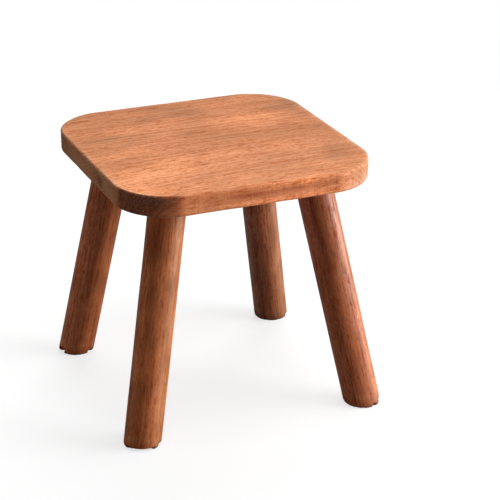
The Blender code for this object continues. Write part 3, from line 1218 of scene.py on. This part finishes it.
# How pale the camera sees the floor, how much light the floor throws back, the share of
# plain white in it near the stool, and the distances over which that share rises to all
FLOOR_SEEN = 0.97
FLOOR_BOUNCE = 0.28
FLOOR_GLOW = 0.7
FLOOR_NEAR = 0.45
FLOOR_FAR = 1.5
FLOOR_HALF_SIDE = 20.0


def away(azimuth, elevation):
    """The direction from the stool towards something seen at these angles, in degrees."""
    turn, rise = math.radians(azimuth), math.radians(elevation)
    flat = math.cos(rise)
    return Vector((math.sin(turn) * flat, -math.cos(turn) * flat, math.sin(rise)))


def studio_light(name, azimuth, elevation, watts):
    """A square soft box. The rim light gives no shine, only a soft edge."""
    data = bpy.data.lights.new(name, "AREA")
    data.shape = "SQUARE"
    data.size = LIGHT_SIDE
    data.energy = watts
    lamp = bpy.data.objects.new(name, data)
    bpy.context.scene.collection.objects.link(lamp)
    lamp.location = LIGHT_CENTRE + LIGHT_DISTANCE * away(azimuth, elevation)
    lamp.rotation_euler = (-away(azimuth, elevation)).to_track_quat("-Z", "Y").to_euler()
    lamp.visible_camera = False
    lamp.visible_glossy = name != "rim"


def floor_material():
    """Pale to the camera, all white further off, and darker to the light it throws back."""
    tree = Tree("pale_floor")
    to_camera = tree.nodes.new("ShaderNodeLightPath").outputs["Is Camera Ray"]
    diffuse = tree.nodes.new("ShaderNodeBsdfDiffuse")
    tree.put(tree.fade(to_camera, FLOOR_BOUNCE, FLOOR_SEEN), diffuse.inputs["Color"])
    glow = tree.nodes.new("ShaderNodeEmission")
    place = tree.nodes.new("ShaderNodeTexCoord").outputs["Object"]
    share = tree.span(tree.vector("LENGTH", place), FLOOR_NEAR, FLOOR_FAR, FLOOR_GLOW, 1.0)
    mixed = tree.nodes.new("ShaderNodeMixShader")
    tree.put(tree.math("MULTIPLY", to_camera, share), mixed.inputs[0])
    tree.put(diffuse.outputs[0], mixed.inputs[1])
    tree.put(glow.outputs[0], mixed.inputs[2])
    tree.put(mixed.outputs[0], tree.nodes["Material Output"].inputs["Surface"])
    return tree.material


def build_floor():
    bm = bmesh.new()
    bmesh.ops.create_grid(bm, x_segments=1, y_segments=1, size=FLOOR_HALF_SIDE)
    floor = mesh_object("studio_floor", bm)
    floor.data.materials.append(floor_material())


def build_camera():
    data = bpy.data.cameras.new("camera")
    data.sensor_width = CAMERA_SENSOR
    data.lens = CAMERA_LENS
    camera = bpy.data.objects.new("camera", data)
    bpy.context.scene.collection.objects.link(camera)
    back = away(CAMERA_AZIMUTH, CAMERA_ELEVATION)
    roll = Quaternion((0, 0, 1), math.radians(CAMERA_ROLL))
    camera.rotation_mode = "QUATERNION"
    camera.location = CAMERA_TARGET + back * CAMERA_DISTANCE
    camera.rotation_quaternion = (-back).to_track_quat("-Z", "Y") @ roll
    bpy.context.scene.camera = camera


def build_world():
    """Pale to the camera, and dim as a light, so that it doesn't flatten the stool."""
    world = bpy.data.worlds.new("studio")
    bpy.context.scene.world = world
    world.use_nodes = True
    nodes, links = world.node_tree.nodes, world.node_tree.links
    path = nodes.new("ShaderNodeLightPath")
    amount = nodes.new("ShaderNodeMapRange")
    amount.inputs["To Min"].default_value = WORLD_LIGHT
    amount.inputs["To Max"].default_value = WORLD_SEEN
    background = nodes["Background"]
    background.inputs["Color"].default_value = WHITE
    links.new(path.outputs["Is Camera Ray"], amount.inputs["Value"])
    links.new(amount.outputs["Result"], background.inputs["Strength"])


# The stool and its stage


seat = read_seat()
legs = [read_leg(place, seat["underside"]) for place in LEG_LOOKS]

slab = seat_slab(seat)
for index in range(len(seat["nodes"])):
    build_board(index, seat, legs, slab)
slab.free()

wedge_material = hardwood("dry_wedge_wood", wedge_place, WEDGE_COLOUR, LEG_WEIGHTS)
for leg in legs:
    build_leg(leg)
    wedge = frame["nodes"]["tenon_wedge_" + leg["place"]]
    wedge.data.materials.clear()
    wedge.data.materials.append(wedge_material)

build_floor()
build_camera()
build_world()
for lamp in STUDIO_LIGHTS:
    studio_light(*lamp)

bpy.context.scene.view_settings.view_transform = "Standard"
